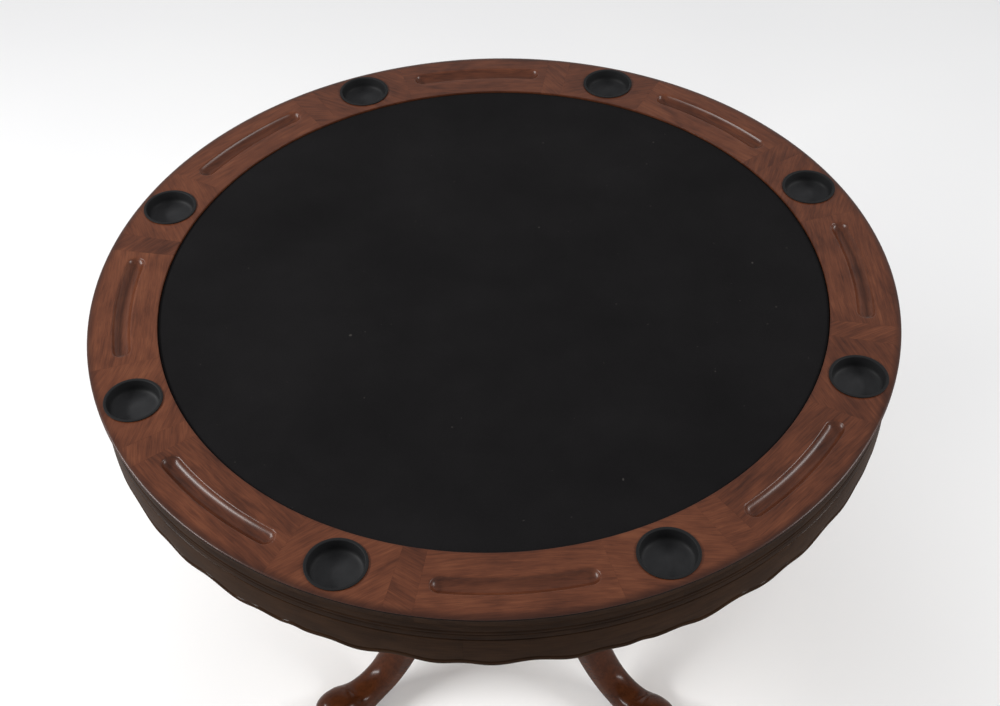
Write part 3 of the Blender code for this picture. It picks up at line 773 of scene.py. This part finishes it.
def make_bands(material):
    """Four quarters of the beaded band; a small raised bead runs between its two grooves."""
    first, second = (RAIL_TOP - depth for depth in BEAD_GROOVES)
    bead = (first + second) / 2.0
    section = rounded(
        [
            (BAND_INNER, BAND_BOTTOM, 0.0),
            (BAND_INNER, BAND_TOP + 0.0002, 0.0),
            (SIDE_RADIUS, BAND_TOP + 0.0002, 0.0002),
            (SIDE_RADIUS, first + 0.0009, 0.0006),
            (SIDE_RADIUS - 0.0007, first, 0.0003),
            (SIDE_RADIUS + 0.0004, bead + 0.0016, 0.0018),
            (SIDE_RADIUS + 0.0004, bead - 0.0016, 0.0018),
            (SIDE_RADIUS - 0.0007, second, 0.0003),
            (SIDE_RADIUS, second - 0.0009, 0.0006),
            (SIDE_RADIUS, BAND_BOTTOM + 0.0019, 0.0008),
            (SIDE_RADIUS - 0.0028, BAND_BOTTOM, 0.0004),
        ],
        closed=True,
    )
    half_seam = SEAM / (2.0 * SIDE_RADIUS)
    end = math.pi / 2.0 - half_seam
    for index in range(4):
        name = f"beaded_band_{index + 1}"
        band = swept(name, lambda _: section, half_seam, end, BAND_STEPS, (material,))
        vary(band, index + 60, tone=0.20)
        angle = TOP_TURN + STATION_ANGLE / 2.0 + index * math.pi / 2.0
        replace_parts(place(band, "game_top", angle), f"edge_band_{index + 1}")


def make_cups(material):
    """Drop-in cups: thin rolled flange, steep wall and a flat floor with a filleted corner."""
    flange_top = CUP_HIGH.z - RAIL_TOP
    underside = CUP_LOW.z - RAIL_TOP
    floor_level = underside + 0.0015
    profile = rounded(
        [
            (0.0008, floor_level, 0.0),
            (0.0200, floor_level, 0.0),
            (0.0357, floor_level + 0.0003, 0.0085),
            (0.0381, flange_top, 0.0016),
            (CUP_FLANGE_RADIUS, flange_top, 0.0013),
            (CUP_FLANGE_RADIUS, 0.0004, 0.0003),
            (0.0398, 0.0004, 0.0003),
            (0.0373, underside, 0.0030),
            (0.0008, underside, 0.0),
        ],
        6,
    )
    for index in range(STATIONS):
        number = index + 1
        cup = turned(f"drop_in_cup_{number}", profile, 96, (material,))
        vary(cup, number)
        node = f"cup_insert_{number}"
        centre = middle(node)
        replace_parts(place(cup, f"cup_{number}", 0.0, (centre.x, centre.y, RAIL_TOP)), node)


# ---- base -----------------------------------------------------------------------------------------
def scallop_level(angle):
    """Level of the apron's lower edge at an angle from a scallop's middle."""
    offset = min(abs(math.degrees(angle)), SCALLOP[-1][0])
    depth = SCALLOP[-1][1]
    for (low, low_depth), (high, high_depth) in zip(SCALLOP, SCALLOP[1:]):
        if low <= offset <= high:
            share = 0.5 - 0.5 * math.cos(math.pi * (offset - low) / (high - low))
            depth = between(low_depth, high_depth, share)
    return APRON_TOP - APRON_DEPTH - depth


def apron_section(angle):
    """Closed section of the apron: flat face, a fine quirk and a rounded lower lip."""
    low = scallop_level(angle)
    return rounded(
        [
            (APRON_INNER, low, 0.001),
            (APRON_INNER, APRON_TOP + 0.0001, 0.0),
            (APRON_RADIUS - 0.0022, APRON_TOP + 0.0001, 0.0003),
            (APRON_RADIUS, APRON_TOP - 0.0012, 0.0008),
            (APRON_RADIUS, low + 0.0108, 0.0012),
            (APRON_RADIUS - 0.0018, low + 0.0090, 0.0005),
            (APRON_RADIUS - 0.0018, low + 0.0078, 0.0005),
            (APRON_RADIUS, low + 0.0066, 0.0020),
            (APRON_RADIUS, low, 0.0045),
        ],
        closed=True,
    )


def make_apron(material):
    """Eight curved apron boards."""
    half = STATION_ANGLE / 2.0 - SEAM / (2.0 * APRON_RADIUS)
    for index in range(STATIONS):
        board = swept(f"apron_board_{index + 1}", apron_section, -half, half, APRON_STEPS, (material,))
        vary(board, index + 80, tone=1.0)
        angle = (index + 0.5) * STATION_ANGLE
        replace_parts(place(board, "base", angle), f"apron_segment_{index + 1}")


def leg_ring(row, along):
    """Section of the leg at one station, at right angles to its curve: soft above, crisp arrises below."""
    radius, height, width, depth, square_above, square_below = row
    normal = Vector((-along.z, 0.0, along.x))
    ring = []
    for step in range(LEG_SIDES):
        turn = 2.0 * math.pi * (step + 0.5) / LEG_SIDES
        cosine, sine = math.cos(turn), math.sin(turn)
        squareness = square_above if sine > 0.0 else square_below
        across = math.copysign(abs(cosine) ** (2.0 / squareness), cosine) * width / 2.0
        up = math.copysign(abs(sine) ** (2.0 / squareness), sine) * depth / 2.0
        point = Vector((radius, across, height)) + normal * up
        point.z = max(point.z, LEG_SOLE)
        ring.append(point)
    return ring


def make_legs(material):
    """Four cabriole legs."""
    rows = smooth_path(LEG_STATIONS, LEG_SPANS)
    last = len(rows) - 1
    rings = []
    for index, row in enumerate(rows):
        before, after = rows[max(index - 1, 0)], rows[min(index + 1, last)]
        along = Vector((after[0] - before[0], 0.0, after[1] - before[1])).normalized()
        if index == 0:
            along = Vector((1.0, 0.0, 0.0))
        rings.append(leg_ring(row, along))
    for index in range(4):
        number = index + 1
        leg = lofted(f"cabriole_leg_{number}", rings, (material,), smooth_angle=50.0)
        vary(leg, number + 100)
        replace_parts(place(leg, "base", LEG_AZIMUTH + index * math.pi / 2.0), f"leg_{number}")


def make_column(material):
    """Turned baluster between the plate and the hub."""
    top, low = COLUMN_TOP, COLUMN_BOTTOM
    profile = [
        (0.001, top, 0.0),
        (0.0620, top, 0.002),
        (0.0620, top - 0.012, 0.004),
        (0.0560, top - 0.016, 0.001),
        (0.0580, top - 0.022, 0.003),
        (0.0470, top - 0.030, 0.003),
        (0.0385, top - 0.050, 0.120),
        (0.0370, top - 0.085, 0.200),
        (0.0375, top - 0.101, 0.001),
        (0.0435, top - 0.104, 0.003),
        (0.0435, top - 0.112, 0.003),
        (0.0385, top - 0.115, 0.001),
        (0.0400, top - 0.140, 0.500),
        (0.0590, top - 0.185, 0.500),
        (0.0680, top - 0.232, 0.500),
        (0.0600, top - 0.282, 0.500),
        (0.0430, low + 0.046, 0.300),
        (0.0420, low + 0.029, 0.002),
        (0.0500, low + 0.026, 0.002),
        (0.0500, low + 0.019, 0.002),
        (0.0600, low + 0.014, 0.004),
        (0.0600, low + 0.0003, 0.001),
        (0.001, low + 0.0003, 0.0),
    ]
    column = turned("turned_column", rounded(profile, 8), 96, (material,), 40.0)
    vary(column, 120)
    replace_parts(place(column, "base"), "pedestal_column")


def square_ring(half, corner, level, sides):
    """Ring of a square with rounded corners."""
    ring = []
    flat = half - corner
    for step in range(sides):
        turn = 2.0 * math.pi * (step + 0.5) / sides
        quarter = math.floor(turn / (math.pi / 2.0))
        share = turn / (math.pi / 2.0) - quarter
        side = Matrix.Rotation(quarter * math.pi / 2.0, 2)
        if share < 0.3:
            point = Vector((half, flat * share / 0.3))
        elif share > 0.7:
            point = Vector((flat * (1.0 - share) / 0.3, half))
        else:
            bend = (share - 0.3) / 0.4 * math.pi / 2.0
            point = Vector((flat + corner * math.cos(bend), flat + corner * math.sin(bend)))
        point = side @ point
        ring.append(Vector((point.x, point.y, level)))
    return ring


def make_hub(material):
    """Square hub with eased corners, a moulded top edge and an open bore below."""
    roof = HUB_TOP - HUB_BORE_ROOF
    bore = (
        (0.001, roof),
        (HUB_BORE_RADIUS, roof),
        (HUB_BORE_RADIUS, HUB_BOTTOM + 0.001),
        (HUB_BORE_RADIUS + 0.001, HUB_BOTTOM),
    )
    # insets from the hub's faces, up from its lower edge
    outside = (
        (0.004, HUB_BOTTOM),
        (0.0012, HUB_BOTTOM + 0.0012),
        (0.0, HUB_BOTTOM + 0.004),
        (0.0, HUB_TOP - 0.018),
        (0.0014, HUB_TOP - 0.017),
        (0.0014, HUB_TOP - 0.014),
        (0.0, HUB_TOP - 0.013),
        (0.0, HUB_TOP - 0.007),
        (0.0010, HUB_TOP - 0.0038),
        (0.0035, HUB_TOP - 0.0012),
        (0.0070, HUB_TOP),
    )
    turns = [2.0 * math.pi * (step + 0.5) / HUB_SIDES for step in range(HUB_SIDES)]
    rings = [[polar(turn, radius, level) for turn in turns] for radius, level in bore]
    for inset, level in outside:
        rings.append(square_ring(HUB_HALF - inset, HUB_CORNER, level, HUB_SIDES))
    rings.append([polar(turn, 0.001, HUB_TOP) for turn in turns])
    hub = lofted("hub_block", rings, (material,), smooth_angle=40.0)
    vary(hub, 125)
    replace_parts(place(hub, "base", LEG_AZIMUTH), "pedestal_hub")


def bolt_profile(tip):
    """Outline of a leg bolt from its socket to its tip: radius, and distance from the table's axis."""
    socket = [(0.0004, BOLT_SEAT - 0.0030), (0.0021, BOLT_SEAT - 0.0031)]
    head = rounded(
        [
            (0.0022, BOLT_SEAT - 0.0065, 0.0),
            (0.0050, BOLT_SEAT - 0.0065, 0.002),
            (0.0065, BOLT_SEAT - 0.0022, 0.001),
            (0.0065, BOLT_SEAT - 0.0002, 0.0003),
            (0.0040, BOLT_SEAT, 0.0),
        ],
        4,
    )
    thread = []
    for step in range(BOLT_TURNS):
        start = between(BOLT_THREAD_START, tip - 0.004, step / BOLT_TURNS)
        end = between(BOLT_THREAD_START, tip - 0.004, (step + 0.5) / BOLT_TURNS)
        thread += [(0.0034, start), (0.0040, end)]
    point = [(0.0034, tip - 0.002), (0.0022, tip), (0.0004, tip)]
    return socket + head + [(0.0040, BOLT_THREAD_START - 0.0005)] + thread + point


def make_hardware(steel, nylon):
    """Leg bolts with domed heads, and the levelling glides."""
    bolt_low, bolt_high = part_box("leg_bolt_1")
    level = (bolt_low.z + bolt_high.z) / 2.0
    profile = bolt_profile(math.hypot(bolt_high.x, bolt_high.y) - 0.006)
    for index in range(4):
        angle = LEG_AZIMUTH + index * math.pi / 2.0
        bolt = turned(f"bolt_{index + 1}", profile, 24, (steel,))
        lying = Matrix.Rotation(angle, 4, "Z") @ Matrix.Rotation(math.pi / 2.0, 4, "Y")
        bolt.matrix_world = Matrix.Translation((0.0, 0.0, level)) @ lying
        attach(bolt, "base")
        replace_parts(bolt, f"leg_bolt_{index + 1}")

        node = f"levelling_glide_{index + 1}"
        low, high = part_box(node)
        centre = middle(node)
        foot = rounded(
            [
                (0.0005, 0.0, 0.0),
                (0.0140, 0.0, 0.0),
                (0.0168, 0.0010, 0.0012),
                (0.0168, 0.0040, 0.0012),
                (0.0120, 0.0053, 0.0010),
                (0.0065, 0.0053, 0.0004),
                (0.0065, 0.0057, 0.0003),
                (0.0042, 0.0057, 0.0),
                (0.0040, 0.0080, 0.0),
                (0.0040, high.z - low.z - 0.0008, 0.0006),
                (0.0005, high.z - low.z, 0.0),
            ],
            4,
        )
        glide = turned(f"glide_{index + 1}", foot, 64, (nylon,))
        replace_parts(place(glide, f"glide_{index + 1}", 0.0, (centre.x, centre.y, low.z)), node)


def dress_frame(boards, plies):
    """Finish for the CAD pieces that are kept: planed edges eased, and their own grain."""
    finishes = [
        ("cross_rail_lower", boards["x"]),
        ("cross_rail_upper", boards["y"]),
        ("column_plate", boards["x"]),
        *[(f"locating_cleat_{index + 1}", boards["y"]) for index in range(4)],
        ("field_board", plies),
        ("top_substrate", plies),
    ]
    for number, (name, material) in enumerate(finishes):
        node = frame["nodes"][name]
        node.data.materials.clear()
        node.data.materials.append(material)
        vary(node, number + 140)
        easing = node.modifiers.new("eased_edges", "BEVEL")
        easing.width = 0.0008
        easing.segments = 2
        easing.limit_method = "ANGLE"
        easing.angle_limit = math.radians(50.0)


# ---- studio ---------------------------------------------------------------------------------------
CAMERA_TURN = math.radians(5.0)      # the camera stands this far round from the base's front
CAMERA_AWAY = 1.7361                 # its distance from the table's axis
CAMERA_UP = 1.5943                   # its height above the rail
CAMERA_TILT = math.radians(45.015)   # how far it looks down
CAMERA_PAN = math.radians(0.189)
CAMERA_ROLL = math.radians(1.727)
CAMERA_LENS = 55.77                  # focal length in millimetres on a 36 mm wide sensor
FLOOR_RADIUS = 14.0
FLOOR_GAP = 0.0004                   # the floor lies this far below the glides
HORIZON = 0.95                       # brightness of the dome near the horizon
OVERHEAD = (0.55, 0.55, 0.56)        # and overhead
STRIP_TARGET = (0.0, 0.0, 0.7)
# each strip light's place as the camera faces the table, its size, and its power in watts
LEFT_STRIP = ((-2.45, -0.30, 2.05), (1.7, 0.34), 68.0)
RIGHT_STRIP = ((2.45, -0.30, 2.05), (1.3, 0.22), 34.0)


def make_camera():
    """Camera at the viewing angle of the reference."""
    data = bpy.data.cameras.new("camera")
    data.lens = CAMERA_LENS
    data.sensor_width = 36.0
    data.sensor_fit = "HORIZONTAL"
    data.clip_end = 60.0
    camera = bpy.data.objects.new("camera", data)
    bpy.context.scene.collection.objects.link(camera)
    spot = polar(CAMERA_TURN - math.pi / 2.0, CAMERA_AWAY, RAIL_TOP + CAMERA_UP)
    facing = Matrix.Rotation(CAMERA_TURN, 4, "Z") @ Matrix.Rotation(math.pi / 2.0 - CAMERA_TILT, 4, "X")
    facing = facing @ Matrix.Rotation(-CAMERA_PAN, 4, "Y") @ Matrix.Rotation(-CAMERA_ROLL, 4, "Z")
    camera.matrix_world = Matrix.Translation(spot) @ facing
    bpy.context.scene.camera = camera


def make_light(name, spot, size, energy):
    """Rectangular soft light aimed at the table."""
    data = bpy.data.lights.new(name, "AREA")
    data.shape = "RECTANGLE"
    data.size, data.size_y = size
    data.energy = energy
    light = bpy.data.objects.new(name, data)
    bpy.context.scene.collection.objects.link(light)
    spot = Matrix.Rotation(CAMERA_TURN, 3, "Z") @ Vector(spot)
    light.location = spot
    light.rotation_euler = (Vector(STRIP_TARGET) - spot).to_track_quat("-Z", "Y").to_euler()


def make_studio():
    """Pale floor, a dome that is brighter near the horizon, and a long soft light on either side."""
    shape = bmesh.new()
    bmesh.ops.create_circle(shape, cap_ends=True, segments=96, radius=FLOOR_RADIUS)
    bmesh.ops.translate(shape, vec=(0.0, 0.0, -FLOOR_GAP), verts=shape.verts[:])
    floor = finished("floor", shape, (floor_material(),))
    world = bpy.data.worlds.new("studio")
    world.use_nodes = True
    bpy.context.scene.world = world
    tree = world.node_tree
    place_in = tree.nodes.new("ShaderNodeTexCoord")
    split = tree.nodes.new("ShaderNodeSeparateXYZ")
    ramp = tree.nodes.new("ShaderNodeValToRGB")
    ramp.color_ramp.elements[0].position = 0.05
    ramp.color_ramp.elements[0].color = (HORIZON, HORIZON, HORIZON, 1.0)
    ramp.color_ramp.elements[1].position = 0.55
    ramp.color_ramp.elements[1].color = (*OVERHEAD, 1.0)
    tree.links.new(place_in.outputs["Generated"], split.inputs[0])
    tree.links.new(split.outputs["Z"], ramp.inputs["Fac"])
    tree.links.new(ramp.outputs["Color"], tree.nodes["Background"].inputs["Color"])
    make_light("left_strip", *LEFT_STRIP)
    make_light("right_strip", *RIGHT_STRIP)
    bpy.context.scene.view_settings.view_transform = "Standard"


# ---- build ----------------------------------------------------------------------------------------
BARE = ((0.30, (0.17, 0.095, 0.045)), (0.50, (0.27, 0.165, 0.085)), (0.75, (0.38, 0.25, 0.14)))
PLY = ((0.30, (0.22, 0.135, 0.070)), (0.50, (0.34, 0.225, 0.125)), (0.75, (0.46, 0.33, 0.20)))
CUP_DARK = (0.0200, 0.0203, 0.0214)
CUP_LIGHT = (0.0290, 0.0293, 0.0306)
CUP_WALL_SHADE = 0.0350                     # radius at which the cup's painted shade over its wall and flange begins
NYLON_DARK = (0.016, 0.016, 0.017)
NYLON_LIGHT = (0.034, 0.034, 0.035)
side_wood = side_wood_material()
leg_wood = leg_wood_material("leg_wood_lacquer", "leg")
upright_wood = leg_wood_material("upright_wood_lacquer", "z")
make_camera()
make_studio()
make_rail(rail_wood_material(), side_wood)
make_felt(felt_material())
make_bands(side_wood)
make_cups(plastic_material("cup_plastic_satin", CUP_DARK, CUP_LIGHT, 0.60, CUP_WALL_SHADE))
make_apron(side_wood)
make_legs(leg_wood)
make_column(upright_wood)
make_hub(upright_wood)
make_hardware(zinc_material(), plastic_material("glide_nylon_moulded", NYLON_DARK, NYLON_LIGHT, 0.52))
dress_frame(
    {"x": bare_wood_material("bare_wood_x", "x", BARE), "y": bare_wood_material("bare_wood_y", "y", BARE)},
    bare_wood_material("plywood_face", "y", PLY),
)
